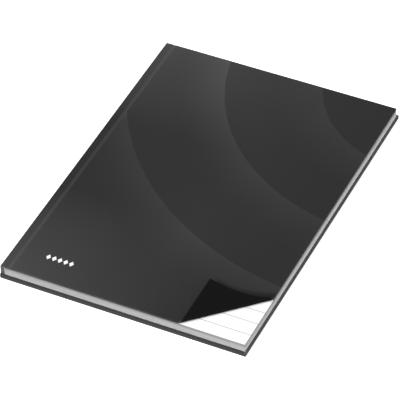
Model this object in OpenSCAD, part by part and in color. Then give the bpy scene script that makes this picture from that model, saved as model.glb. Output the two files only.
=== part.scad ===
// Ruled notebook with a stiff back cover and a thin flexible front cover, lying on its back cover.
// The spine is at -X, the head at +Y and the front cover on top. The front cover and the spine are
// trimmed almost flush with the leaves, and the back cover stands out a little further at head, tail
// and fore-edge. The front cover's corner at tail and fore-edge is turned over and lies back on the
// cover, so the top leaf shows there. Origin: middle of the back cover's underside.

/* [Pages] */
// Width of a leaf, from its bound back to the fore-edge
page_w = 148; // [90:1:210]
// Height of a leaf, from tail to head
page_h = 210; // [140:1:300]
// Thickness of the block of leaves
block_t = 5.3; // [3:0.1:25]
// Distance between two ruled lines
rule_pitch = 9.2; // [6:0.1:12]
// Height of the lowest ruled line above the tail of the leaf
rule_start = 8; // [5:0.5:20]
// Blank margin between the highest ruled line and the head of the leaf
rule_head = 14; // [5:0.5:40]
// Width of a ruled line
rule_w = 0.35; // [0.2:0.05:0.8]
// Thickness of the ink of a ruled line
rule_t = 0.02; // [0.01:0.005:0.04]

/* [Covers] */
// Thickness of the covering material
wrap_t = 0.4; // [0.2:0.05:0.6]
// Thickness of the flexible card inside the front cover
card_t = 0.3; // [0.2:0.05:0.6]
// Thickness of the board inside the back cover
back_board_t = 1.75; // [1.2:0.05:4]
// Thickness of the endpaper pasted inside each cover
paste_t = 0.15; // [0.1:0.05:0.3]
// How far the back cover stands out beyond the leaves at the fore-edge
back_over = 0.9; // [0.5:0.1:4]
// How far the back cover stands out beyond the leaves at head and tail
back_over_ends = 1.5; // [0.5:0.1:4]
// How far the front cover and the spine stand out beyond the leaves
front_over = 0.1; // [0.05:0.05:0.4]
// Gap between the closed front cover and the top leaf
front_gap = 0.05; // [0.05:0.05:0.3]

/* [Spine] */
// Thickness of the board strip that stiffens the spine
spine_board_t = 2; // [0.8:0.1:3]
// Thickness of the lining glued to the back of the leaves
lining_t = 0.3; // [0.1:0.1:0.8]
// Outer radius of the wrap at the two long edges of the spine
spine_r = 0.8; // [0.7:0.1:1.2]

/* [Hinge crease] */
// Distance of the front cover's hinge crease from the outer face of the spine
crease_x = 5.7; // [4:0.1:12]
// Width of the crease
crease_w = 1.6; // [1:0.1:3]
// Thickness of card left under the bottom of the crease
crease_left = 0.06; // [0.02:0.01:0.1]

/* [Turned corner] */
// Length of the tail edge that is turned over
turn_tail = 41.2; // [25:0.1:60]
// Length of the fore-edge that is turned over
turn_fore = 38.9; // [25:0.1:60]
// Inner radius of the roll along the fold
roll_r = 0.4; // [0.3:0.1:2]
// How far the flap's fore-edge side sags in towards the fold at its middle
flap_bow = 3.8; // [0:0.1:5]
// How far the flap's tip has slid along the fold towards the tail
flap_slide = 2.8; // [0:0.1:4]
// Width of the worn tip of the corner
tip_w = 0.5; // [0.3:0.1:2]

/* [Cover print] */
// Thickness of a printed film
ink_t = 0.03; // [0.02:0.01:0.06]
// Distance of the arcs' centre beyond the fore-edge of the cover
arc_out = 22; // [0:1:80]
// Distance of the arcs' centre beyond the head of the cover
arc_up = 26; // [0:1:80]
// Inner radius of the smallest arc
arc_first = 74; // [30:1:120]
// Width of an arc
arc_w = 30; // [8:1:60]
// Distance from one arc to the next
arc_pitch = 58; // [20:1:90]
// Number of arcs
arc_count = 3; // [1:1:4]
// Distance of the title ornament from the outer face of the spine
mark_x = 20; // [12:1:60]
// Height of the title ornament's middle above the tail of the cover
mark_y = 16.8; // [8:0.1:60]
// Width of one lozenge of the title ornament
mark_w = 2.8; // [1:0.1:6]
// Height of one lozenge
mark_h = 4; // [1:0.1:8]
// Distance from one lozenge to the next
mark_pitch = 3.6; // [2:0.1:8]
// Number of lozenges
mark_count = 5; // [1:1:9]

/* [Hidden] */

// Heights above the table
back_t = wrap_t + back_board_t + paste_t;
block_top = back_t + block_t;
front_t = wrap_t + card_t + paste_t;
front_z = block_top + front_gap;
top_z = front_z + front_t;
card_z = front_z + paste_t;
wrap_z = top_z - wrap_t;

// Places across the book, from the outer face of the spine, and up it, from the tail of the leaves
lining_x = wrap_t + spine_board_t;
block_x = lining_x + lining_t;
cover_w = block_x + page_w + front_over;
cover_h = page_h + 2 * front_over;
cover_y = -front_over;
back_w = block_x + page_w + back_over;
back_h = page_h + 2 * back_over_ends;
back_y = -back_over_ends;
crease_from = crease_x - crease_w / 2;
crease_to = crease_x + crease_w / 2;
crease_d = card_t - crease_left;
bend_r = spine_r - wrap_t;

// Fold line of the turned corner: its tail end, its direction and the direction towards the corner
fold_a = [cover_w - turn_tail, cover_y];
fold_len = norm([turn_tail, turn_fore]);
fold_e = [turn_tail, turn_fore] / fold_len;
fold_n = [fold_e.y, -fold_e.x];
corner_s = turn_tail * fold_n.x;
corner_t = turn_tail * fold_e.x;
flap_end = corner_s * (1 - tip_w / fold_len);
roll_out = roll_r + front_t;
roll_len = PI * roll_out;
roll_steps = 12;
flap_steps = 16;
fold_lap = 0.5;
far = 2 * (back_w + back_h);

// Distances past the fold line at which the turned corner is worked out. The first one lies short
// of the line, so that the corner and the flat cover run into each other.
turn_rows = concat(
    [-fold_lap],
    [for (i = [0 : roll_steps]) roll_len * i / roll_steps],
    [for (i = [1 : flap_steps]) roll_len + (flap_end - roll_len) * i / flap_steps]
);

// A point of the turned corner. side runs from 0 on the cover's tail edge to 1 on its fore-edge,
// s is the distance past the fold line on the flat sheet, and depth goes down from its top face.
// The sheet keeps its length on the outside of the roll, because paper creases but doesn't stretch.
function turned(side, s, depth) =
    let (
        turn = max(0, min(s / roll_out * 180 / PI, 180)),
        past = max(0, s - roll_len),
        part = past / (flap_end - roll_len),
        t_tail = corner_t * s / corner_s,
        t_fore = fold_len - (fold_len - corner_t) * s / corner_s,
        t = t_tail + side * (t_fore - t_tail) - flap_slide * part,
        bow = flap_bow * 4 * part * (1 - part) * side,
        out = min(0, s) + (roll_r + depth) * sin(turn) - past + bow,
        p = fold_a + t * fold_e + out * fold_n
    )
    [p.x, p.y, top_z + roll_r - (roll_r + depth) * cos(turn)];

// Moves a piece so that the origin lies under the middle of the back cover
module set_down() {
    translate([-back_w / 2, -page_h / 2, 0]) children();
}

// Carries a profile, drawn across the book, along the spine from y0 for a length
module along_spine(y0, length) {
    translate([0, y0 + length, 0]) rotate([90, 0, 0]) linear_extrude(length) children();
}

// A rectangle from [x0, z0] to [x1, z1] with the lower or upper corner on its spine side rounded
module spine_block(x0, z0, x1, z1, r, upper) {
    translate([x0 + r, z0]) square([x1 - x0 - r, z1 - z0]);
    translate([x0, upper ? z0 : z0 + r]) square([r, z1 - z0 - r]);
    translate([x0 + r, upper ? z1 - r : z0 + r]) circle(r = r, $fn = 48);
}

// A layer of the front cover that is turned over past the fold line, between two depths
module turned_layer(depth0, depth1) {
    rows = len(turn_rows);
    points = [
        for (s = turn_rows)
            for (c = [[0, depth0], [1, depth0], [1, depth1], [0, depth1]])
                turned(c[0], s, c[1])
    ];
    sides = [
        for (i = [0 : rows - 2])
            for (k = [0 : 3])
                let (a = 4 * i + k, b = 4 * i + (k + 1) % 4)
                    each [[a, b, b + 4], [a, b + 4, a + 4]]
    ];
    last = 4 * (rows - 1);
    polyhedron(points, concat([[3, 2, 1, 0]], sides, [[last, last + 1, last + 2, last + 3]]));
}

// The outline of everything past the fold line
module past_fold() {
    polygon([
        fold_a - far * fold_e,
        fold_a + far * fold_e,
        fold_a + far * fold_e + far * fold_n,
        fold_a - far * fold_e + far * fold_n
    ]);
}

// A layer of the front cover: its profile from the crease to the fore-edge, with the corner turned
module front_layer(depth0, depth1) {
    difference() {
        along_spine(cover_y, cover_h) children();
        translate([0, 0, front_z - front_t]) linear_extrude(3 * front_t) past_fold();
    }
    turned_layer(depth0, depth1);
}

// Covering material of the back cover, bent up round the spine edge of the board
module back_wrap() {
    color([0.14, 0.14, 0.145]) set_down() along_spine(back_y, back_h) difference() {
        spine_block(0, 0, back_w, back_t, spine_r, false);
        spine_block(wrap_t, wrap_t, back_w + 1, back_t + 1, bend_r, false);
    }
}

// Stiff board of the back cover, black right through, rounded where the wrap bends round it
module back_board() {
    color([0.2, 0.2, 0.205]) set_down() along_spine(back_y, back_h)
        spine_block(wrap_t, wrap_t, back_w, back_t - paste_t, bend_r, false);
}

// Black endpaper pasted inside the back cover
module back_pastedown() {
    color([0.05, 0.05, 0.052]) set_down()
        translate([wrap_t, back_y, back_t - paste_t]) cube([back_w - wrap_t, back_h, paste_t]);
}

// All the leaves, sewn and glued at their back edge
module pages() {
    color([0.93, 0.93, 0.92]) set_down()
        translate([block_x, 0, back_t]) cube([page_w, page_h, block_t]);
}

// Ruled lines printed on the top leaf, running off its fore-edge
module page_rules() {
    color([0.78, 0.79, 0.8]) set_down()
        for (y = [rule_start : rule_pitch : page_h - rule_head])
            translate([crease_x, y - rule_w / 2, block_top])
                cube([block_x + page_w - crease_x, rule_w, rule_t]);
}

// Lining glued down the back of the leaves
module spine_lining() {
    color([0.6, 0.58, 0.55]) set_down()
        translate([lining_x, 0, back_t]) cube([lining_t, page_h, block_t]);
}

// Grey board strip inside the spine, rounded under the bend of the wrap
module spine_board() {
    color([0.45, 0.45, 0.44]) set_down() along_spine(cover_y, cover_h)
        spine_block(wrap_t, back_t, lining_x, wrap_z, bend_r, true);
}

// Strip of the cover card on the spine side of the crease, glued to the back edge of the top leaf
module joint_strip() {
    section = [
        [lining_x, block_top], [crease_x, block_top], [crease_x, wrap_z - crease_d],
        [crease_from, wrap_z], [lining_x, wrap_z]
    ];
    color([0.3, 0.3, 0.3]) set_down() along_spine(cover_y, cover_h) polygon(section);
}

// Covering material over the spine and down to the bottom of the crease
module spine_wrap() {
    color([0.15, 0.15, 0.155]) set_down() along_spine(cover_y, cover_h) {
        difference() {
            spine_block(0, back_t, crease_from, top_z, spine_r, true);
            spine_block(wrap_t, back_t - 1, crease_from + 1, wrap_z, bend_r, true);
        }
        polygon([
            [crease_from, wrap_z], [crease_x, wrap_z - crease_d],
            [crease_x, top_z - crease_d], [crease_from, top_z]
        ]);
    }
}

// Flexible card inside the front cover
module front_card() {
    color([0.25, 0.25, 0.25]) set_down() front_layer(wrap_t, wrap_t + card_t)
        polygon([
            [crease_x, card_z], [cover_w, card_z], [cover_w, wrap_z],
            [crease_to, wrap_z], [crease_x, wrap_z - crease_d]
        ]);
}

// Black endpaper pasted inside the front cover, which shows on the turned corner
module front_pastedown() {
    color([0.05, 0.05, 0.052]) set_down() front_layer(front_t - paste_t, front_t)
        polygon([[crease_x, front_z], [cover_w, front_z], [cover_w, card_z], [crease_x, card_z]]);
}

// Covering material of the front cover, from the bottom of the crease to the fore-edge
module front_wrap() {
    color([0.15, 0.15, 0.155]) set_down() front_layer(0, wrap_t)
        polygon([
            [crease_x, wrap_z - crease_d], [crease_to, wrap_z], [cover_w, wrap_z],
            [cover_w, top_z], [crease_to, top_z], [crease_x, top_z - crease_d]
        ]);
}

// Outline of the lozenges that stand where a title would be
module title_row() {
    for (i = [0 : mark_count - 1])
        translate([mark_x + (i + 0.5) * mark_pitch, cover_y + mark_y])
            polygon([[-mark_w / 2, 0], [0, -mark_h / 2], [mark_w / 2, 0], [0, mark_h / 2]]);
}

// Broad arcs printed tone on tone across the front cover, left out round the title row
module cover_arcs() {
    color([0.2, 0.2, 0.205]) set_down() translate([0, 0, top_z]) linear_extrude(ink_t)
        difference() {
            intersection() {
                translate([crease_to, cover_y]) square([cover_w - crease_to, cover_h]);
                translate([cover_w + arc_out, cover_y + cover_h + arc_up])
                    for (i = [0 : arc_count - 1]) difference() {
                        circle(r = arc_first + i * arc_pitch + arc_w, $fn = 180);
                        circle(r = arc_first + i * arc_pitch, $fn = 180);
                    }
            }
            past_fold();
            title_row();
        }
}

// Plain row of lozenges printed where a title would be
module title_mark() {
    color([0.95, 0.95, 0.95]) set_down()
        translate([0, 0, top_z]) linear_extrude(ink_t) title_row();
}

back_wrap();
back_board();
back_pastedown();
pages();
page_rules();
spine_lining();
spine_board();
joint_strip();
spine_wrap();
front_card();
front_pastedown();
front_wrap();
cover_arcs();
title_mark();
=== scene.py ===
import math

import bpy
import numpy as np
from mathutils import Matrix, Vector


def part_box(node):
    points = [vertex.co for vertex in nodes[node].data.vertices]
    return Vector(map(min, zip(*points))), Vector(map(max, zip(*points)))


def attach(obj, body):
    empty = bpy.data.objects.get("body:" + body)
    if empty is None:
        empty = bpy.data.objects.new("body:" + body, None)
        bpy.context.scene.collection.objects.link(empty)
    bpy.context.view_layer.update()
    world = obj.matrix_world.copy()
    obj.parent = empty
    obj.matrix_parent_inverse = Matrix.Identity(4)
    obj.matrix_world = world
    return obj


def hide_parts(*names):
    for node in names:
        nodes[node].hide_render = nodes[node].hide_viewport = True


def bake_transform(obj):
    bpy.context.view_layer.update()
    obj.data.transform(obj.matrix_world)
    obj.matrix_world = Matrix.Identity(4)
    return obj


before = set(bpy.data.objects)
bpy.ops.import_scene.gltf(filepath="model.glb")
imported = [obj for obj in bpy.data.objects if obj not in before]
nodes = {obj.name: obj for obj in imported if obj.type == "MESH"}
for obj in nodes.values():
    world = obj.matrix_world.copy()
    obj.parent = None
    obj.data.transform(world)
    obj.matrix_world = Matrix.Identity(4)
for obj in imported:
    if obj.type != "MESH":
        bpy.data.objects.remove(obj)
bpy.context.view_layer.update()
mm = 0.001  # shapes are worked out in millimetres, and Blender and the materials use metres


def boxMm(name):
    # lowest and highest corner of a CAD node, in millimetres
    low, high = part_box(name)
    return np.array(low) * 1000, np.array(high) * 1000


backHigh = boxMm("back_wrap")[1]
leavesLow, leavesHigh = boxMm("pages")
spineLow, spineHigh = boxMm("spine_wrap")
coverLow, coverHigh = boxMm("front_wrap")
spineX = spineLow[0]  # outside of the spine
topZ = spineHigh[2]  # outside of the front cover
backZ = backHigh[2]  # inside of the back cover
tailY, headY = coverLow[1], coverHigh[1]  # ends of the front cover
hingeX = coverLow[0]  # middle of the crease

# Camera

photoView = {
    "position": (0.56684, -1.09672, 1.15158),
    "azimuth": 27.456,
    "elevation": 43.085,
    "roll": -2.532,
    "lens": 264.46,
    "sensor": 36,
    "clip": (0.05, 20),
}


def placeCamera(view):
    # forward from azimuth and elevation, then the level right turned about it by the roll
    a, e, r = (math.radians(view[k]) for k in ("azimuth", "elevation", "roll"))
    forward = Vector((-math.sin(a) * math.cos(e), math.cos(a) * math.cos(e), -math.sin(e)))
    level = Vector((math.cos(a), math.sin(a), 0))
    right = level * math.cos(r) + level.cross(forward) * math.sin(r)
    up = right.cross(forward)
    data = bpy.data.cameras.new("photoCamera")
    data.lens = view["lens"]
    data.sensor_width = view["sensor"]
    data.clip_start, data.clip_end = view["clip"]
    camera = bpy.data.objects.new("photoCamera", data)
    turned = Matrix((right, up, -forward)).transposed().to_4x4()
    camera.matrix_world = Matrix.Translation(view["position"]) @ turned
    bpy.context.scene.collection.objects.link(camera)
    bpy.context.scene.camera = camera


placeCamera(photoView)
print("camera placed")

# Mesh tools


def gridQuads(index):
    # one quad between each four neighbouring points of a grid of point numbers
    corners = [index[:-1, :-1], index[1:, :-1], index[1:, 1:], index[:-1, 1:]]
    return np.stack(corners, -1).reshape(-1, 4)


def rimEdges(quads):
    # the edges that only one quad uses, in the direction in which it runs round them
    edges = np.concatenate([quads[:, [k, (k + 1) % 4]] for k in range(4)])
    pairs = np.sort(edges, axis=1)
    first, count = np.unique(pairs, axis=0, return_index=True, return_counts=True)[1:]
    return edges[first[count == 1]]


def newPiece(name, points, faces, placeOnSheet=None, smoothBelow=32):
    # points in millimetres; placeOnSheet is each point's place on the flat sheet, for the materials
    mesh = bpy.data.meshes.new(name)
    mesh.from_pydata((points * mm).tolist(), [], faces)
    mesh.validate()
    mesh.shade_smooth()
    mesh.set_sharp_from_angle(angle=math.radians(smoothBelow))
    if placeOnSheet is not None:
        layer = mesh.attributes.new("sheetPlace", "FLOAT_VECTOR", "POINT")
        layer.data.foreach_set("vector", (placeOnSheet * mm).astype(np.float32).ravel())
    piece = bpy.data.objects.new(name, mesh)
    bpy.context.scene.collection.objects.link(piece)
    return piece


def sheetPiece(name, quads, upper, lower, placeOnSheet=None, rounding=0.0):
    # a sheet with a thickness: its upper face, its lower face turned over, and walls round the rim
    count = len(upper)
    rim = rimEdges(quads)
    walls = np.stack([rim[:, 0], rim[:, 0] + count, rim[:, 1] + count, rim[:, 1]], -1)
    faces = np.concatenate([quads, quads[:, ::-1] + count, walls])
    if placeOnSheet is not None:
        placeOnSheet = np.concatenate([placeOnSheet, placeOnSheet])
    piece = newPiece(name, np.concatenate([upper, lower]), faces.tolist(), placeOnSheet)
    if rounding:
        softenEdges(piece, rounding)
    return piece


softEdge = {"segments": 2, "aboveAngle": 50}


def softenEdges(piece, width):
    # rounds the sharp edges a little and keeps the result as the piece's own mesh
    bevel = piece.modifiers.new("softEdges", "BEVEL")
    bevel.width = width * mm
    bevel.segments = softEdge["segments"]
    bevel.limit_method = "ANGLE"
    bevel.angle_limit = math.radians(softEdge["aboveAngle"])
    bevel.harden_normals = True
    bevel.use_clamp_overlap = True
    graph = bpy.context.evaluated_depsgraph_get()
    mesh = bpy.data.meshes.new_from_object(piece.evaluated_get(graph))
    piece.modifiers.clear()
    piece.data = mesh


def ease(t):
    # 0 to 1 with level ends
    t = np.clip(t, 0, 1)
    return t * t * (3 - 2 * t)


# Material tools


def nodeIn(tree, kind, **values):
    # adds a node; names of inputs are written with _ for a space, and others are its own settings
    made = tree.nodes.new("ShaderNode" + kind)
    for key, value in values.items():
        socket = made.inputs.get(key.replace("_", " "))
        if socket is not None:
            socket.default_value = value
        else:
            setattr(made, key, value)
    return made


def join(tree, output, socket):
    tree.links.new(output, socket)


def calc(tree, operation, a, b=None, c=None, clamp=False):
    # one step of arithmetic; each of a, b and c is a number or the output of another node
    made = tree.nodes.new("ShaderNodeMath")
    made.operation = operation
    made.use_clamp = clamp
    for socket, value in zip(made.inputs, (a, b, c)):
        if value is None:
            continue
        if isinstance(value, (int, float)):
            socket.default_value = value
        else:
            tree.links.new(value, socket)
    return made.outputs[0]


def ramp(tree, value, fromLow, fromHigh, toLow=0.0, toHigh=1.0, smooth=True):
    # maps a value from one range to another, held at both ends; inputs 1 to 4 are the two ranges
    made = tree.nodes.new("ShaderNodeMapRange")
    made.interpolation_type = "SMOOTHSTEP" if smooth else "LINEAR"
    for key, number in zip((1, 2, 3, 4), (fromLow, fromHigh, toLow, toHigh)):
        made.inputs[key].default_value = number
    tree.links.new(value, made.inputs[0])
    return made.outputs[0]


def mixColour(tree, mask, a, b):
    # colour a where the mask is 0 and colour b where it is 1
    made = tree.nodes.new("ShaderNodeMix")
    made.data_type = "RGBA"
    for socket, value in zip((made.inputs[0], made.inputs[6], made.inputs[7]), (mask, a, b)):
        if isinstance(value, (tuple, list)):
            socket.default_value = (*value, 1)
        elif isinstance(value, (int, float)):
            socket.default_value = value
        else:
            tree.links.new(value, socket)
    return made.outputs[2]


def noise(tree, vector, scale, detail, roughness=0.5):
    # soft noise from 0 to 1, with scale features to the metre
    made = nodeIn(tree, "TexNoise", Scale=scale, Detail=detail, Roughness=roughness)
    tree.links.new(vector, made.inputs["Vector"])
    return made.outputs["Fac"]


def stretched(tree, vector, scale):
    # the same place with its own scale along each axis
    made = nodeIn(tree, "Mapping", Scale=scale)
    tree.links.new(vector, made.inputs["Vector"])
    return made.outputs[0]


def axesOf(tree, vector):
    # the X, Y and Z of a place
    made = nodeIn(tree, "SeparateXYZ")
    tree.links.new(vector, made.inputs[0])
    return made.outputs


def newGroup(name, inputs, outputs):
    # a shader node group; inputs are (name, socket, default) and outputs (name, socket)
    tree = bpy.data.node_groups.new(name, "ShaderNodeTree")
    for label, kind, default in inputs:
        made = tree.interface.new_socket(label, in_out="INPUT", socket_type="NodeSocket" + kind)
        if default is not None:
            made.default_value = default
    for label, kind in outputs:
        tree.interface.new_socket(label, in_out="OUTPUT", socket_type="NodeSocket" + kind)
    return tree, tree.nodes.new("NodeGroupInput").outputs, tree.nodes.new("NodeGroupOutput").inputs


def placeGroup(tree, group, vector, **values):
    # places a group in a material with that material's own values
    made = tree.nodes.new("ShaderNodeGroup")
    made.node_tree = group
    tree.links.new(vector, made.inputs["Place"])
    for key, value in values.items():
        made.inputs[key].default_value = value
    return made.outputs


def newMaterial(name, roughness, specular):
    # an empty material with one Principled shader
    material = bpy.data.materials.new(name)
    material.use_nodes = True
    tree = material.node_tree
    shader = tree.nodes["Principled BSDF"]
    shader.inputs["Roughness"].default_value = roughness
    shader.inputs["Specular IOR Level"].default_value = specular
    return material, tree, shader


def bumpFrom(tree, shader, height, distance, strength):
    made = nodeIn(tree, "Bump", Strength=strength, Distance=distance)
    tree.links.new(height, made.inputs["Height"])
    tree.links.new(made.outputs[0], shader.inputs["Normal"])


def objectPlace(tree):
    # the place on the whole notebook at rest
    return tree.nodes.new("ShaderNodeTexCoord").outputs["Object"]


def sheetPlace(tree):
    # the place on the sheet before it was folded
    made = tree.nodes.new("ShaderNodeAttribute")
    made.attribute_name = "sheetPlace"
    return made.outputs["Vector"]


def setMaterial(piece, *materials):
    piece.data.materials.clear()
    for material in materials:
        piece.data.materials.append(material)


# Turned corner of the front cover

turnedCorner = {
    "alongTail": 41.2,
    "alongFore": 38.9,
    "rollRadius": 0.4,
    "bow": 3.8,
    "slide": 2.8,
    "tipWidth": 0.5,
    "rollSteps": 24,
    "flapSteps": 46,
    "sideSteps": 32,
}
coverLayers = {"wrap": 0.4, "card": 0.3, "paste": 0.15}
coverThick = sum(coverLayers.values())
coverEdge = leavesHigh[0] + 0.1  # the front cover stands out a little beyond the leaves


def turnedPoints(side, s, depth):
    # side goes along the fold from the tail to the fore-edge, and s across it from the fold line to the
    # tip: a half turn round the roll, then straight back over the cover, with one free edge bowed by a
    # parabola and the flap slid along the fold line in step with its distance
    t = turnedCorner
    tail, fore = t["alongTail"], t["alongFore"]
    length = math.hypot(tail, fore)
    along = np.array([tail, fore]) / length
    past = np.array([along[1], -along[0]])
    cornerS, cornerT = tail * past[0], tail * along[0]
    outer = t["rollRadius"] + coverThick
    rollLength = math.pi * outer
    flapEnd = cornerS * (1 - t["tipWidth"] / length)
    turn = np.clip(s / outer, 0, math.pi)
    beyond = np.maximum(s - rollLength, 0)
    part = beyond / (flapEnd - rollLength)
    onTail = cornerT * s / cornerS
    onFore = length - (length - cornerT) * s / cornerS
    flatAlong = onTail + side * (onFore - onTail)
    shifted = flatAlong - t["slide"] * part
    bow = t["bow"] * 4 * part * (1 - part) * side
    radius = t["rollRadius"] + depth
    out = radius * np.sin(turn) - beyond + bow
    foot = np.array([coverEdge - tail, tailY])
    flat = foot + flatAlong[..., None] * along + s[..., None] * past
    place = foot + shifted[..., None] * along + out[..., None] * past
    height = topZ + t["rollRadius"] - radius * np.cos(turn)
    return place, height, flat, flapEnd, rollLength


# Shared finishes

fibreLook = {
    "longScale": 420.0,
    "crossScale": 546.0,
    "stretch": 3.5,
    "fineScale": 2600.0,
    "fineShare": 0.5,
    "cloudScale": 38.0,
}


def buildPaperFibre():
    # Height: short fibres crossed with fine grain. Cloud: slow changes of tone
    tree, given, wanted = newGroup(
        "paperFibre",
        [("Place", "Vector", None), ("Coarse", "Float", 1.0)],
        [("Height", "Float"), ("Cloud", "Float")],
    )
    scaled = nodeIn(tree, "VectorMath", operation="SCALE")
    join(tree, given["Place"], scaled.inputs[0])
    join(tree, given["Coarse"], scaled.inputs["Scale"])
    place = scaled.outputs[0]
    thin = fibreLook["stretch"]
    along = noise(tree, stretched(tree, place, (1, thin, 1)), fibreLook["longScale"], 4)
    across = noise(tree, stretched(tree, place, (thin, 1, 1)), fibreLook["crossScale"], 4)
    grain = noise(tree, place, fibreLook["fineScale"], 2)
    both = calc(tree, "MAXIMUM", along, across)
    join(tree, calc(tree, "MULTIPLY_ADD", grain, fibreLook["fineShare"], both), wanted["Height"])
    join(tree, noise(tree, place, fibreLook["cloudScale"], 3), wanted["Cloud"])
    return tree


coverLook = {
    "middle": (0.0180, 0.0180, 0.0182),
    "light": (0.054, 0.054, 0.0546),
    "dark": (0.0125, 0.0125, 0.0127),
    "spineFade": (-0.085, 0.030),
    "backFade": (-0.098, -0.080),
    "endFade": (0.030, 0.112),
    "foreFade": (0.0, 0.078),
    "foreDark": 0.75,
    "spineDark": 0.7,
    "driftScale": 16.0,
    "drift": 0.22,
}


def buildCoverTone():
    # the charcoal print, with painted light and shade over it: lighter towards the spine's two ends,
    # darker at its middle and the fore-edge
    look = coverLook
    tree, given, wanted = newGroup("coverTone", [("Place", "Vector", None)], [("Color", "Color")])
    x, y = axesOf(tree, given["Place"])[:2]
    nearSpine = ramp(tree, x, *look["spineFade"], 1.0, 0.0, smooth=False)
    front = ramp(tree, x, *look["backFade"])
    ends = ramp(tree, calc(tree, "ABSOLUTE", y), *look["endFade"], smooth=False)
    lightPart = calc(tree, "MULTIPLY", calc(tree, "MULTIPLY", nearSpine, front), ends)
    farSide = ramp(tree, x, *look["foreFade"], 0.0, look["foreDark"])
    middleDark = calc(tree, "MULTIPLY", nearSpine, ramp(tree, ends, 0.0, 0.5, 1.0, 0.0))
    darkPart = calc(tree, "MAXIMUM", farSide, calc(tree, "MULTIPLY", middleDark, look["spineDark"]))
    cloud = noise(tree, given["Place"], look["driftScale"], 2)
    drift = calc(tree, "MULTIPLY_ADD", cloud, look["drift"], -look["drift"] / 2)
    darkMask = calc(tree, "ADD", darkPart, drift, clamp=True)
    lightMask = calc(tree, "ADD", lightPart, drift, clamp=True)
    base = mixColour(tree, darkMask, look["middle"], look["dark"])
    join(tree, mixColour(tree, lightMask, base, look["light"]), wanted["Color"])
    return tree


wearLook = {
    "raggedScale": 900.0,
    "raggedReach": (2.4, -0.7),
    "patchScale": 55.0,
    "patches": (0.42, 0.68),
}


def buildRubbedEdge():
    # Mask: a ragged band of wear, Width wide, on the rim of a rectangle of half sizes Across and Along
    tree, given, wanted = newGroup(
        "rubbedEdge",
        [
            ("Place", "Vector", None),
            ("Across", "Float", 0.075),
            ("Along", "Float", 0.105),
            ("Width", "Float", 0.0006),
        ],
        [("Mask", "Float")],
    )
    x, y = axesOf(tree, given["Place"])[:2]
    fromSide = calc(tree, "SUBTRACT", given["Across"], calc(tree, "ABSOLUTE", x))
    fromSide = calc(tree, "ABSOLUTE", fromSide)
    fromEnd = calc(tree, "SUBTRACT", given["Along"], calc(tree, "ABSOLUTE", y))
    near = calc(tree, "MINIMUM", fromSide, fromEnd)
    ragged = noise(tree, given["Place"], wearLook["raggedScale"], 4, 0.7)
    ragged = calc(tree, "MULTIPLY_ADD", ragged, *wearLook["raggedReach"])
    reach = calc(tree, "MULTIPLY", given["Width"], ragged)
    band = calc(tree, "SUBTRACT", 1.0, calc(tree, "DIVIDE", near, reach), clamp=True)
    patches = ramp(tree, noise(tree, given["Place"], wearLook["patchScale"], 3), *wearLook["patches"])
    join(tree, calc(tree, "MULTIPLY", band, patches, clamp=True), wanted["Mask"])
    return tree


paintedCornerShadowLook = {
    "colour": (0.001, 0.001, 0.001),
    "strength": 0.85,
    "fade": (0.0016, 0.0058),
    "begin": (-0.01, 0.16),
    "end": (0.97, 1.01),
}


def buildPaintedCornerShadow():
    # Mask: a painted shadow, the soft dark band on the cover along the bowed free edge of the turned
    # corner, where the flap would shade it. It is 1 near
    #     # the parabola through the edge's two ends and a point near its middle, and fades away from it
    look = paintedCornerShadowLook
    tree, given, wanted = newGroup("paintedCornerShadow", [("Place", "Vector", None)], [("Mask", "Float")])
    flapEnd = turnedPoints(np.zeros(1), np.zeros(1), 0.0)[3]
    nearMiddle = flapEnd / 2 + 1
    edge = turnedPoints(np.ones(3), np.array([flapEnd, nearMiddle, 0]), coverThick)[0] * mm
    tip, bowed, foldEnd = edge
    length = math.hypot(*(foldEnd - tip))
    alongEdge = (foldEnd - tip) / length
    outward = np.array([-alongEdge[1], alongEdge[0]])
    rise = float((bowed - tip) @ outward)
    offset = nodeIn(tree, "VectorMath", operation="SUBTRACT")
    join(tree, given["Place"], offset.inputs[0])
    offset.inputs[1].default_value = (*tip, 0)
    measured = []
    for direction in (alongEdge, outward):
        dot = nodeIn(tree, "VectorMath", operation="DOT_PRODUCT")
        join(tree, offset.outputs[0], dot.inputs[0])
        dot.inputs[1].default_value = (*direction, 0)
        measured.append(dot.outputs["Value"])
    share = calc(tree, "DIVIDE", measured[0], length)
    hump = calc(tree, "MULTIPLY", share, calc(tree, "SUBTRACT", 1.0, share))
    beyond = calc(tree, "SUBTRACT", measured[1], calc(tree, "MULTIPLY", hump, 4 * rise))
    near = ramp(tree, beyond, *look["fade"], 1.0, 0.0)
    begins = ramp(tree, share, *look["begin"])
    ends = ramp(tree, share, *look["end"], 1.0, 0.0)
    join(tree, calc(tree, "MULTIPLY", near, calc(tree, "MULTIPLY", begins, ends)), wanted["Mask"])
    return tree


paperFibre = buildPaperFibre()
coverTone = buildCoverTone()
rubbedEdge = buildRubbedEdge()
paintedCornerShadow = buildPaintedCornerShadow()


laminateLook = {
    "fibreCoarse": 0.8,
    "roughness": (0.40, 0.44),
    "specular": 0.36,
    "bump": (0.000012, 0.5),
    "crease": (0.0006, 0.0014),
    "creasePress": 0.95,
    "creasePaintedHighlight": 0.019,
    "creaseRoughness": 0.10,
    "worn": (0.13, 0.13, 0.128),
    "wornRim": {"Across": 0.0760, "Along": 0.1052, "Width": 0.0005},
    "wornStrength": 0.4,
}


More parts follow.
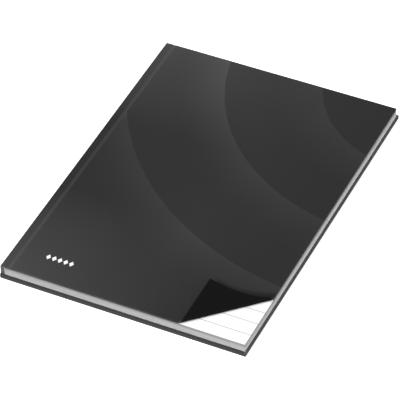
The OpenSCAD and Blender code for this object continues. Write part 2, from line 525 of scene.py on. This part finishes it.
def laminateMaterial(name, placeOf):
    # printed sheet under a satin film: the print with painted light and shade over it, a painted shadow
    # beside the turned corner, a painted highlight along the crease, a soft dimpling of the film and
    # rubbed edges
    look = laminateLook
    smooth, rough = look["roughness"]
    material, tree, shader = newMaterial(name, (smooth + rough) / 2, look["specular"])
    place = placeOf(tree)
    tone = placeGroup(tree, coverTone, place)
    fibre = placeGroup(tree, paperFibre, place, Coarse=look["fibreCoarse"])
    worn = placeGroup(tree, rubbedEdge, place, **look["wornRim"])
    x = axesOf(tree, place)["X"]
    fromCrease = calc(tree, "ABSOLUTE", calc(tree, "SUBTRACT", x, hingeX * mm))
    pressed = ramp(tree, fromCrease, *look["crease"], look["creasePress"], 0.0)
    # painted highlight: the crease is painted a little lighter along the groove; its lower roughness is
    # the film's own gloss
    lift = calc(tree, "MULTIPLY", pressed, look["creasePaintedHighlight"])
    colour = mixColour(tree, lift, tone["Color"], (1, 1, 1))
    wornMask = calc(tree, "MULTIPLY", worn["Mask"], look["wornStrength"])
    colour = mixColour(tree, wornMask, colour, look["worn"])
    # painted shadow: the cover is darkened beside the turned corner's free edge
    shade = placeGroup(tree, paintedCornerShadow, place)
    paintedShadowMix = calc(tree, "MULTIPLY", shade["Mask"], paintedCornerShadowLook["strength"])
    colour = mixColour(tree, paintedShadowMix, colour, paintedCornerShadowLook["colour"])
    join(tree, colour, shader.inputs["Base Color"])
    satin = calc(tree, "MULTIPLY_ADD", fibre["Cloud"], rough - smooth, smooth)
    satin = calc(tree, "MULTIPLY_ADD", pressed, look["creaseRoughness"], satin)
    join(tree, satin, shader.inputs["Roughness"])
    bumpFrom(tree, shader, fibre["Height"], *look["bump"])
    return material, tree, shader, colour, place


laminate = laminateMaterial("coverLaminate", sheetPlace)[0]
print("finishes built")

# Covering material of the back cover and the spine, one sheet bent round both spine edges

wrapSheet = {
    "thick": 0.4,
    "edgeRadius": 0.8,
    "rounding": 0.05,
    "creaseFrom": 4.9,
    "creaseWidth": 1.6,
    "creaseDepth": 0.24,
    "trimRise": 0.9,
    "hingeHalf": 0.4,
    "hingeMargin": 0.1,
    "bendSteps": 12,
    "underSteps": 45,
    "lowerSteps": 5,
    "hingeSteps": 16,
    "upperSteps": 13,
    "topSteps": 8,
    "lengthSteps": 71,
}
creaseStart = spineX + wrapSheet["creaseFrom"]


def wrapPath(depth):
    # below the board to the spine, round the lower edge, up, round the upper edge and to the crease;
    # the rows lie closer together where the sheet bends at the hinge
    w = wrapSheet
    r = w["edgeRadius"]
    near, far = spineX + r, backHigh[0]
    bendLow = np.radians(np.linspace(-90, -180, w["bendSteps"] + 1)[1:])
    bendHigh = np.radians(np.linspace(180, 90, w["bendSteps"] + 1)[1:])
    run = np.linspace(far, near, w["underSteps"] + 1)
    half, outer = w["hingeHalf"], w["hingeHalf"] + w["hingeMargin"]
    rise = np.concatenate([
        np.linspace(r, backZ - outer, w["lowerSteps"] + 1)[1:],
        np.linspace(backZ - half, backZ + half, w["hingeSteps"] + 1),
        np.linspace(backZ + outer, topZ - r, w["upperSteps"] + 1),
    ])
    x = [run, near + (r - depth) * np.cos(bendLow), np.full(len(rise), spineX + depth)]
    z = [np.full(len(run), depth), r + (r - depth) * np.sin(bendLow), rise]
    top = np.linspace(near, creaseStart, w["topSteps"] + 1)[1:]
    x += [near + (r - depth) * np.cos(bendHigh), top]
    z += [topZ - r + (r - depth) * np.sin(bendHigh), np.full(len(top), topZ - depth)]
    return np.concatenate(x), np.concatenate(z)


def buildSpineAndBack():
    # carries the path's outside and inside from tail to head, as wide as the cover that it belongs to
    outX, outZ = wrapPath(0.0)
    inX, inZ = wrapPath(wrapSheet["thick"])
    length = np.concatenate([[0], np.cumsum(np.hypot(np.diff(outX), np.diff(outZ)))])
    flatX = creaseStart - (length[-1] - length)
    # the sheet is a little longer on the back cover than on the spine, with an eased slope between
    climb = ease((outZ - backZ) / wrapSheet["trimRise"])
    halfLength = backHigh[1] + (headY - backHigh[1]) * climb
    y = halfLength[:, None] * np.linspace(-1, 1, wrapSheet["lengthSteps"] + 1)[None, :]
    quads = gridQuads(np.arange(y.size).reshape(y.shape))

    def spread(x, z):
        wide = np.ones(y.shape[1])[None, :]
        return np.stack([x[:, None] * wide, y, z[:, None] * wide], -1).reshape(-1, 3)

    flat = spread(flatX, np.zeros_like(flatX))
    outside, inside = spread(outX, outZ), spread(inX, inZ)
    piece = sheetPiece("coverWrapBack", quads, outside, inside, flat, wrapSheet["rounding"])
    setMaterial(piece, laminate)
    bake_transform(piece)
    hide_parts("back_wrap", "spine_wrap")


buildSpineAndBack()
print("back and spine wrapped")

# Front cover: three layers glued together, with the corner turned over

frontSheet = {
    "grooveSteps": 24,
    "acrossSteps": 60,
    "headSteps": 68,
    "wrapRounding": 0.05,
    "pasteRounding": 0.03,
    "bendHalf": 0.5,
}


def creaseDrop(x):
    # a rounded groove, level at both sides
    half = wrapSheet["creaseWidth"] / 2
    inside = np.clip(np.abs(x - hingeX) / half, 0, 1)
    return wrapSheet["creaseDepth"] * np.cos(inside * math.pi / 2) ** 2


def coverLayer(name, start, depthFrom, depthTo, coarse, rounding):
    # rows run from the crease to the fore-edge, or to the fold line and on round the turned corner;
    # coarse divides the number of steps of a layer that is hardly seen
    t = turnedCorner
    foldTop = tailY + t["alongFore"]
    low = np.linspace(tailY, foldTop, t["sideSteps"] // coarse + 1)
    high = np.linspace(foldTop, headY, frontSheet["headSteps"] // coarse)[1:]
    y = np.concatenate([low, high])
    reach = np.minimum(coverEdge, coverEdge + (y - foldTop) * t["alongTail"] / t["alongFore"])
    groove = np.linspace(start, creaseStart + wrapSheet["creaseWidth"], frontSheet["grooveSteps"] + 1)
    grooveEnd = groove[-1]
    share = np.linspace(0, 1, frontSheet["acrossSteps"] // coarse)[1:]
    wide = grooveEnd + (reach - grooveEnd)[None, :] * share[:, None]
    x = np.concatenate([groove[:, None] * np.ones_like(y)[None, :], wide])
    yGrid = np.ones(len(x))[:, None] * y[None, :]
    flatCount = x.size
    index = np.arange(flatCount).reshape(x.shape)
    side = np.linspace(0, 1, len(low))
    flapEnd, rollLength = turnedPoints(np.zeros(1), np.zeros(1), depthFrom)[3:]
    s = np.concatenate([
        np.linspace(0, rollLength, t["rollSteps"] + 1)[1:],
        np.linspace(rollLength, flapEnd, t["flapSteps"] // coarse + 1)[1:],
    ])
    sideGrid, sGrid = np.meshgrid(side, s)
    foldIndex = flatCount + np.arange(sGrid.size).reshape(sGrid.shape)
    foldIndex = np.concatenate([index[-1:, : len(low)], foldIndex])
    quads = np.concatenate([gridQuads(index), gridQuads(foldIndex)])

    def surface(depth):
        # the covering material and the card's outer face follow the crease; deeper faces stay level
        place, height, flat = turnedPoints(sideGrid, sGrid, depth)[:3]
        drop = creaseDrop(x) if depth <= coverLayers["wrap"] else 0 * x
        level = np.stack([x, yGrid, topZ - depth - drop], -1).reshape(-1, 3)
        turned = np.concatenate([place, height[..., None]], -1).reshape(-1, 3)
        flatPlace = np.stack([x, yGrid, 0 * x], -1).reshape(-1, 3)
        flatTurned = np.concatenate([flat, 0 * height[..., None]], -1).reshape(-1, 3)
        return np.concatenate([level, turned]), np.concatenate([flatPlace, flatTurned])

    upper, flatUpper = surface(depthFrom)
    lower, _ = surface(depthTo)
    return sheetPiece(name, quads, upper, lower, flatUpper, rounding)


endpaperLook = {
    "dark": (0.0030, 0.0030, 0.0032),
    "light": (0.0066, 0.0066, 0.0068),
    "fibreShare": 0.6,
    "bump": (0.00002, 0.6),
}


def endpaperMaterial():
    # black uncoated paper with fine fibres
    material, tree, shader = newMaterial("blackEndpaper", roughness=0.9, specular=0.08)
    fibre = placeGroup(tree, paperFibre, sheetPlace(tree), Coarse=1.0)
    mask = calc(tree, "MULTIPLY", fibre["Height"], endpaperLook["fibreShare"])
    colour = mixColour(tree, mask, endpaperLook["dark"], endpaperLook["light"])
    join(tree, colour, shader.inputs["Base Color"])
    bumpFrom(tree, shader, fibre["Height"], *endpaperLook["bump"])
    return material


cardLook = {"dark": (0.02, 0.02, 0.0205), "light": (0.06, 0.06, 0.061), "bump": (0.00003, 0.6)}


def cardMaterial():
    # black-dyed card, seen at the cut edges
    material, tree, shader = newMaterial("dyedCard", roughness=0.8, specular=0.2)
    fibre = placeGroup(tree, paperFibre, objectPlace(tree), Coarse=2.0)
    colour = mixColour(tree, fibre["Height"], cardLook["dark"], cardLook["light"])
    join(tree, colour, shader.inputs["Base Color"])
    bumpFrom(tree, shader, fibre["Height"], *cardLook["bump"])
    return material


endpaper = endpaperMaterial()
card = cardMaterial()


def buildFrontCover():
    wrap = coverLayers["wrap"]
    inner = wrap + coverLayers["card"]
    outside = coverLayer("coverWrapFront", creaseStart, 0.0, wrap, 1, frontSheet["wrapRounding"])
    middle = coverLayer("coverCard", hingeX, wrap, inner, 2, 0.0)
    inside = coverLayer("coverEndpaper", hingeX, inner, coverThick, 1, frontSheet["pasteRounding"])
    setMaterial(outside, laminate)
    setMaterial(middle, card)
    setMaterial(inside, endpaper)
    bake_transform(outside)
    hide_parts("front_wrap")
    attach(middle, "front_cover")
    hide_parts("front_card")
    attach(inside, "front_cover")
    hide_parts("front_pastedown")


buildFrontCover()
print("front cover and turned corner built")

# Leaves

leafBlock = {
    "count": 60,
    "perBundle": 4,
    "looseness": 0.075,
    "leafShare": 0.35,
    "bundleShare": 0.4,
    "waveShare": 0.06,
    "waves": (3, 8),
    "groove": 0.05,
    "faces": (0.12, 0.88),
    "step": 3.2,
    "seed": 11,
}
ruling = {"pitch": 9.2, "start": 8.0, "head": 14.0, "width": 0.35, "ink": (0.30, 0.305, 0.31)}


def leafLoop():
    # round the block from the bound edge's tail end, with the outward direction of each point
    low, high = leavesLow, leavesHigh
    across = np.linspace(low[0], high[0], int((high[0] - low[0]) / leafBlock["step"]))
    along = np.linspace(low[1], high[1], int((high[1] - low[1]) / leafBlock["step"]))
    tail = np.stack([across, np.full_like(across, low[1])], -1)
    fore = np.stack([np.full_like(along, high[0]), along], -1)[1:]
    head = np.stack([across[::-1], np.full_like(across, high[1])], -1)[1:]
    ends = len(tail) - 1, len(tail) + len(fore) - 1
    outward = np.zeros((len(tail) + len(fore) + len(head), 2))
    outward[1 : ends[0] + 1, 1] = -1
    outward[ends[0] : ends[1] + 1, 0] = 1
    outward[ends[1] : -1, 1] = 1
    return np.concatenate([tail, fore, head]), outward


def buildLeaves():
    # each leaf has three rings: a groove under it and its two faces, pushed in by its own slow wave
    b = leafBlock
    rng = np.random.default_rng(b["seed"])
    loop, outward = leafLoop()
    count = b["count"]
    thick = (leavesHigh[2] - leavesLow[2]) / count
    around = 2 * math.pi * np.linspace(0, 1, len(loop))[None, :]
    single = rng.uniform(0, 1, count)
    bundle = np.repeat(rng.uniform(0, 1, count // b["perBundle"] + 1), b["perBundle"])[:count]
    phase = rng.uniform(0, 2 * math.pi, (count, 2))
    slow, quick = b["waves"]
    waves = np.sin(slow * around + phase[:, :1]) + np.sin(quick * around + phase[:, 1:])
    inset = b["looseness"] * (b["leafShare"] * single + b["bundleShare"] * bundle)[:, None]
    inset = inset + b["looseness"] * b["waveShare"] * (2 + waves)
    inset[[0, -1]] = 0
    under, top = b["faces"]
    rings = []
    for k in range(count):
        z = leavesLow[2] + k * thick
        groove = b["groove"] if k > 0 else 0.0
        for height, extra in ((0.0, groove), (under * thick, 0.0), (top * thick, 0.0)):
            pushed = loop - outward * (inset[k] + extra)[:, None]
            rings.append(np.column_stack([pushed, np.full(len(loop), z + height)]))
    rings.append(np.column_stack([loop, np.full(len(loop), leavesHigh[2])]))
    points = np.concatenate(rings)
    index = np.arange(len(points)).reshape(len(rings), len(loop))
    closed = np.concatenate([index, index[:, :1]], 1)
    faces = gridQuads(closed.T).tolist() + [index[-1].tolist(), index[0][::-1].tolist()]
    piece = newPiece("leafBlock", points, faces, smoothBelow=30)
    setMaterial(
        piece,
        leafEdgeMaterial(),
        leafFaceMaterial("leafFace", ruled=False),
        leafFaceMaterial("ruledLeafFace", ruled=True),
    )
    slots = np.zeros(len(piece.data.polygons), np.int32)
    slots[-2:] = 1, 2  # the top leaf, whose lines are a piece of their own, and the underside
    piece.data.polygons.foreach_set("material_index", slots)
    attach(piece, "text_block")
    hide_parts("pages")


leafEdgeLook = {
    "paper": (0.74, 0.74, 0.735),
    "shaded": (0.02, 0.02, 0.02),
    "towardsCover": 0.54,
    "underCover": 0.25,
    "underCoverPower": 6.0,
    "fineLines": (14, 14, 9000),
    "fineShare": 0.6,
    "broadLines": (5, 5, 1500),
    "broadShare": 0.5,
    "lineRange": (0.35, 0.75),
    "lineStrength": 0.5,
    "lineDepth": 0.55,
}
leafFaceLook = {"paper": (0.93, 0.93, 0.925), "cloud": (0.88, 0.88, 0.875), "bump": (0.00001, 0.4)}


def leafEdgeMaterial():
    # cut edges of the leaves: fine dark and light lines along the block, with painted shade towards the
    # front cover
    look = leafEdgeLook
    material, tree, shader = newMaterial("leafEdges", roughness=0.75, specular=0.2)
    place = objectPlace(tree)
    fine = noise(tree, stretched(tree, place, look["fineLines"]), 1.0, 2)
    broad = noise(tree, stretched(tree, place, look["broadLines"]), 1.0, 3)
    lines = calc(tree, "MULTIPLY", broad, look["broadShare"])
    lines = calc(tree, "MULTIPLY_ADD", fine, look["fineShare"], lines)
    z = axesOf(tree, place)["Z"]
    # painted shade: the edges grow darker towards the top of the block, under the front cover
    up = ramp(tree, z, leavesLow[2] * mm, leavesHigh[2] * mm, smooth=False)
    under = calc(tree, "POWER", up, look["underCoverPower"])
    under = calc(tree, "MULTIPLY", under, look["underCover"])
    paintedShadeMix = calc(tree, "MULTIPLY_ADD", up, look["towardsCover"], under, clamp=True)
    paper = mixColour(tree, paintedShadeMix, look["paper"], look["shaded"])
    gap = mixColour(tree, look["lineDepth"], paper, (0.0, 0.0, 0.0))
    lineMask = ramp(tree, lines, *look["lineRange"], 0.0, look["lineStrength"])
    join(tree, mixColour(tree, lineMask, paper, gap), shader.inputs["Base Color"])
    return material


def ruledMask(tree, place):
    # 1 on the ruled lines: where the share of a pitch is close to a half, between the two margins
    y = axesOf(tree, place)["Y"]
    first = (leavesLow[1] + ruling["start"] - ruling["pitch"] / 2) * mm
    last = (leavesHigh[1] - ruling["head"]) * mm
    turns = calc(tree, "DIVIDE", calc(tree, "SUBTRACT", y, first), ruling["pitch"] * mm)
    offset = calc(tree, "ABSOLUTE", calc(tree, "SUBTRACT", calc(tree, "FRACT", turns), 0.5))
    line = calc(tree, "LESS_THAN", offset, ruling["width"] / 2 / ruling["pitch"])
    below = calc(tree, "LESS_THAN", y, last)
    above = calc(tree, "GREATER_THAN", y, first)
    return calc(tree, "MULTIPLY", line, calc(tree, "MULTIPLY", below, above))


def leafFaceMaterial(name, ruled):
    # smooth white writing paper; the underside of the block carries its lines in the material
    material, tree, shader = newMaterial(name, roughness=0.7, specular=0.25)
    place = objectPlace(tree)
    fibre = placeGroup(tree, paperFibre, place, Coarse=1.0)
    colour = mixColour(tree, fibre["Cloud"], leafFaceLook["paper"], leafFaceLook["cloud"])
    if ruled:
        colour = mixColour(tree, ruledMask(tree, place), colour, ruling["ink"])
    join(tree, colour, shader.inputs["Base Color"])
    bumpFrom(tree, shader, fibre["Height"], *leafFaceLook["bump"])
    return material


buildLeaves()
print("leaves built")

# Finishes of the pieces that keep their CAD shape

boardLooks = {
    "back_board": {
        "name": "blackBoard",
        "dark": (0.026, 0.026, 0.026),
        "light": (0.066, 0.066, 0.066),
        "core": 0.3,
    },
    "spine_board": {
        "name": "greyBoard",
        "dark": (0.08, 0.08, 0.079),
        "light": (0.15, 0.15, 0.148),
        "core": 0.0,
    },
}
boardGrain = {
    "layers": (40, 40, 4200),
    "layerShare": 0.5,
    "fibreShare": 0.25,
    "coreHalf": 0.2,
    "coreFadeShare": 0.4,
    "bump": (0.00004, 0.7),
}


def boardMaterial(node):
    # pressed board: thin layers and coarse fibres, with a lighter layer half way through if core is set
    look = boardLooks[node]
    low, high = boxMm(node)
    material, tree, shader = newMaterial(look["name"], roughness=0.78, specular=0.22)
    place = objectPlace(tree)
    fibre = placeGroup(tree, paperFibre, place, Coarse=1.4)
    layers = noise(tree, stretched(tree, place, boardGrain["layers"]), 1.0, 3)
    mixed = calc(tree, "MULTIPLY", fibre["Height"], boardGrain["fibreShare"])
    mixed = calc(tree, "MULTIPLY_ADD", layers, boardGrain["layerShare"], mixed)
    if look["core"]:
        z = axesOf(tree, place)["Z"]
        centre = (low[2] + high[2]) / 2 * mm
        away = calc(tree, "ABSOLUTE", calc(tree, "SUBTRACT", z, centre))
        fadeEnd = (high[2] - low[2]) * boardGrain["coreFadeShare"]
        core = ramp(tree, away, boardGrain["coreHalf"] * mm, fadeEnd * mm, look["core"], 0.0)
        mixed = calc(tree, "ADD", mixed, core, clamp=True)
    join(tree, mixColour(tree, mixed, look["dark"], look["light"]), shader.inputs["Base Color"])
    bumpFrom(tree, shader, calc(tree, "ADD", layers, fibre["Height"]), *boardGrain["bump"])
    return material


paperLooks = {
    "spine_lining": {
        "name": "lining",
        "dark": (0.5, 0.48, 0.45),
        "light": (0.6, 0.58, 0.55),
        "roughness": 0.85,
    },
    "page_rules": {
        "name": "ruleInk",
        "dark": (0.28, 0.285, 0.29),
        "light": (0.34, 0.345, 0.35),
        "roughness": 0.7,
    },
    "title_mark": {
        "name": "whiteInk",
        "dark": (0.86, 0.86, 0.86),
        "light": (0.92, 0.92, 0.92),
        "roughness": 0.5,
    },
    "back_pastedown": {
        "name": "blackPaste",
        "dark": (0.032, 0.032, 0.032),
        "light": (0.045, 0.045, 0.045),
        "roughness": 0.9,
    },
}
paperBump = (0.00002, 0.6)
ledgePaintedLight = {"colour": (0.105, 0.105, 0.105), "band": (1.2, 0.6)}


def paperMaterial(node):
    # paper or ink with a fine fibre; the back cover's endpaper is painted lighter along its fore-edge,
    # painted light on the ledge that the leaf block shades
    look = paperLooks[node]
    material, tree, shader = newMaterial(look["name"], look["roughness"], specular=0.2)
    place = objectPlace(tree)
    fibre = placeGroup(tree, paperFibre, place, Coarse=1.2)
    colour = mixColour(tree, fibre["Height"], look["dark"], look["light"])
    if node == "back_pastedown":
        # painted light: the endpaper's ledge at the fore-edge is lightened where the leaf block shades
        # it
        inner, outer = ((backHigh[0] - width) * mm for width in ledgePaintedLight["band"])
        paintedLight = ramp(tree, axesOf(tree, place)["X"], inner, outer)
        colour = mixColour(tree, paintedLight, colour, ledgePaintedLight["colour"])
    join(tree, colour, shader.inputs["Base Color"])
    bumpFrom(tree, shader, fibre["Height"], *paperBump)
    return material


arcLook = {
    "out": 22.0,
    "up": 26.0,
    "first": 74.0,
    "width": 30.0,
    "pitch": 58.0,
    "lift": 0.7,
    "fadePower": 1.6,
}


def arcMaterial():
    # film printed on the cover: each arc is sharp and lighter at its inner side and fades outwards
    material, tree, shader, colour, place = laminateMaterial("arcVarnish", objectPlace)
    centre = np.array([coverEdge + arcLook["out"], headY + arcLook["up"], topZ]) * mm
    away = nodeIn(tree, "VectorMath", operation="DISTANCE")
    join(tree, place, away.inputs[0])
    away.inputs[1].default_value = centre
    fromFirst = calc(tree, "SUBTRACT", away.outputs["Value"], arcLook["first"] * mm)
    turns = calc(tree, "FRACT", calc(tree, "DIVIDE", fromFirst, arcLook["pitch"] * mm))
    across = calc(tree, "MULTIPLY", turns, arcLook["pitch"] / arcLook["width"])
    fade = calc(tree, "SUBTRACT", 1.0, across, clamp=True)
    fade = calc(tree, "POWER", fade, arcLook["fadePower"])
    bright = nodeIn(tree, "VectorMath", operation="SCALE")
    join(tree, colour, bright.inputs[0])
    join(tree, calc(tree, "MULTIPLY_ADD", fade, arcLook["lift"], 1.0), bright.inputs["Scale"])
    join(tree, bright.outputs[0], shader.inputs["Base Color"])
    return material


for node in boardLooks:
    setMaterial(nodes[node], boardMaterial(node))
for node in paperLooks:
    setMaterial(nodes[node], paperMaterial(node))
setMaterial(nodes["joint_strip"], card)
setMaterial(nodes["cover_arcs"], arcMaterial())
print("CAD pieces finished")

# Floor, light and world

studio = {
    "floorColour": (0.93, 0.93, 0.93),
    "floorHalf": 3.0,
    "floorDrop": 0.00003,
    "floorGlow": 0.6,
    "roomLight": 0.36,
    "lampFrom": (-0.32, -0.40, 0.80),
    "lampStrength": 2.4,
    "lampAngle": 28.0,
    "sideFrom": (1.0, -0.30, 0.42),
    "sideStrength": 1.5,
    "sideAngle": 60.0,
}


def addSoftSun(name, comesFrom, strength, angle):
    # a broad even light from far away, so that the floor is as bright all over
    data = bpy.data.lights.new(name, "SUN")
    data.energy = strength
    data.angle = math.radians(angle)
    lamp = bpy.data.objects.new(name, data)
    lamp.location = comesFrom
    lamp.rotation_mode = "QUATERNION"
    lamp.rotation_quaternion = (-Vector(comesFrom)).to_track_quat("-Z", "Y")
    bpy.context.scene.collection.objects.link(lamp)


def buildStudio():
    # a white room that the camera sees as plain white, two soft lamps and a pale floor
    scene = bpy.context.scene
    scene.view_settings.view_transform = "Standard"
    world = bpy.data.worlds.new("softRoom")
    world.use_nodes = True
    tree = world.node_tree
    background = tree.nodes["Background"]
    background.inputs["Color"].default_value = (1, 1, 1, 1)
    seen = tree.nodes.new("ShaderNodeLightPath").outputs["Is Camera Ray"]
    strength = calc(tree, "MULTIPLY_ADD", seen, 1 - studio["roomLight"], studio["roomLight"])
    join(tree, strength, background.inputs["Strength"])
    scene.world = world
    addSoftSun("softLamp", studio["lampFrom"], studio["lampStrength"], studio["lampAngle"])
    addSoftSun("sideLamp", studio["sideFrom"], studio["sideStrength"], studio["sideAngle"])
    mesh = bpy.data.meshes.new("floor")
    half = studio["floorHalf"]
    corners = [(-half, -half), (half, -half), (half, half), (-half, half)]
    mesh.from_pydata([(x, y, -studio["floorDrop"]) for x, y in corners], [], [(0, 1, 2, 3)])
    floor = bpy.data.objects.new("floor", mesh)
    scene.collection.objects.link(floor)
    material, tree, shader = newMaterial("paleFloor", roughness=0.9, specular=0.1)
    shader.inputs["Base Color"].default_value = (*studio["floorColour"], 1)
    shader.inputs["Emission Color"].default_value = (1, 1, 1, 1)
    direct = tree.nodes.new("ShaderNodeLightPath").outputs["Is Camera Ray"]
    join(tree, calc(tree, "MULTIPLY", direct, studio["floorGlow"]), shader.inputs["Emission Strength"])
    setMaterial(floor, material)


buildStudio()
print("studio lit")
